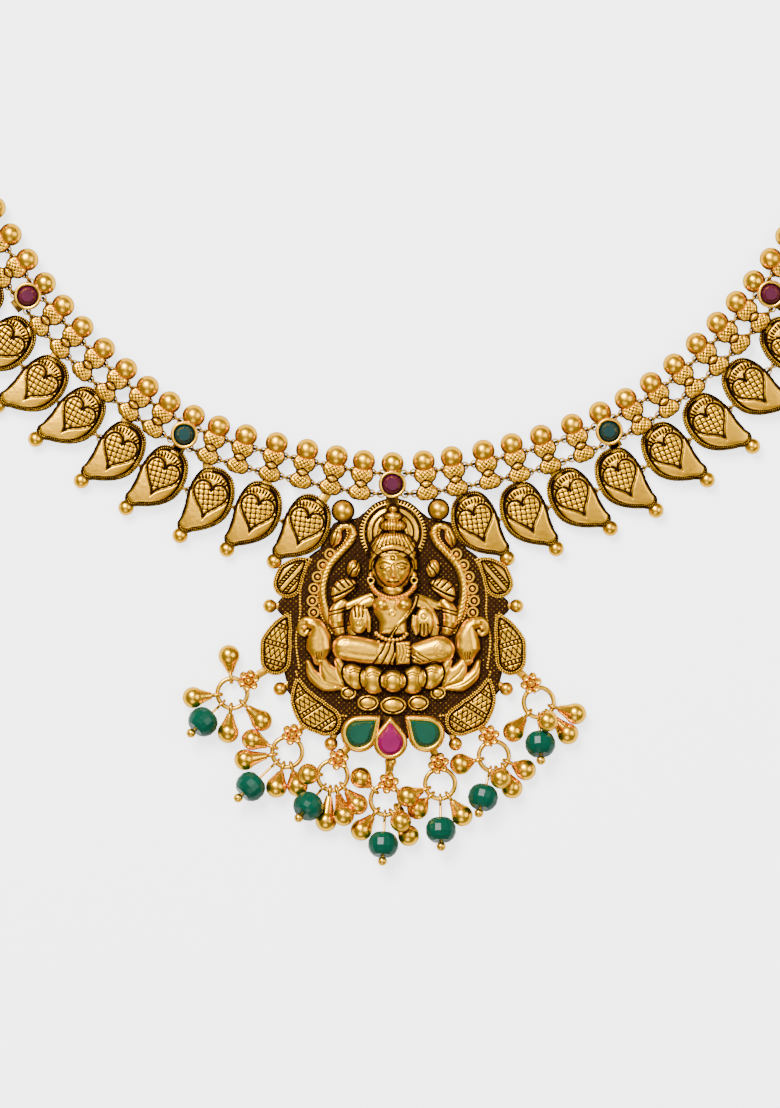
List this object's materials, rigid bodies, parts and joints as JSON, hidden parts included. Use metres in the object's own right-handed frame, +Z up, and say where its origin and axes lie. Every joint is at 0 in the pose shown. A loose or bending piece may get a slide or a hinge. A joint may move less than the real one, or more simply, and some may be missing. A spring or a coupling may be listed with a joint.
{
  "type": "temple jewellery necklace",
  "caption": "Antique gold temple necklace: collar of hourglass links with paisley drops, a cast goddess plaque, set stones and hanging clusters of gold and green beads.",
  "frame": {"origin": "middle of the plaque's flat back, on the surface that the necklace lies on", "axes": "+Z up from the surface to the cast front, +Y from the plaque to the neck opening, +X to the right as seen from the front"},
  "size_m": [0.1422, 0.1902, 0.0053],
  "materials": {
    "antique_gold": "antique gold plate, dark in the recesses",
    "dark_gold": "oxidised wire",
    "green_glass": "cut and polished",
    "ruby_glass": "cut and polished",
    "maroon_glass": "cut and polished",
    "teal_glass": "cut and polished"
  },
  "bodies": {
    "root": {"pendant_plaque": "antique_gold", "pear_stone_left": "green_glass", "pear_stone_middle": "ruby_glass", "pear_stone_right": "green_glass", "collar_links_left": "antique_gold", "collar_links_right": "antique_gold", "jump_rings_left": "dark_gold", "jump_rings_right": "dark_gold", "bezel_link_left_2": "antique_gold", "bezel_link_right_2": "antique_gold", "stone_middle": "maroon_glass", "stone_left_1": "teal_glass", "stone_left_2": "maroon_glass", "stone_right_1": "teal_glass", "stone_right_2": "maroon_glass", "paisley_left_1": "antique_gold", "paisley_left_2": "antique_gold", "paisley_left_3": "antique_gold", "paisley_left_4": "antique_gold", "paisley_left_5": "antique_gold", "paisley_left_6": "antique_gold", "paisley_left_7": "antique_gold", "paisley_left_8": "antique_gold", "paisley_right_1": "antique_gold", "paisley_right_2": "antique_gold", "paisley_right_3": "antique_gold", "paisley_right_4": "antique_gold", "paisley_right_5": "antique_gold", "paisley_right_6": "antique_gold", "paisley_right_7": "antique_gold", "paisley_right_8": "antique_gold", "paisleys_rear_left": "antique_gold", "paisleys_rear_right": "antique_gold", "side_rings_left": "dark_gold", "side_rings_right": "dark_gold", "cluster_rings": "antique_gold", "gold_drops": "antique_gold", "green_bead_1": "green_glass", "green_bead_2": "green_glass", "green_bead_3": "green_glass", "green_bead_4": "green_glass", "green_bead_5": "green_glass", "green_bead_6": "green_glass", "green_bead_7": "green_glass", "headpins": "antique_gold", "end_bar_left": "antique_gold", "end_bar_right": "antique_gold", "back_chain_left": "antique_gold", "back_chain_right": "antique_gold", "clasp_hook": "antique_gold"}
  },
  "joints": []
}
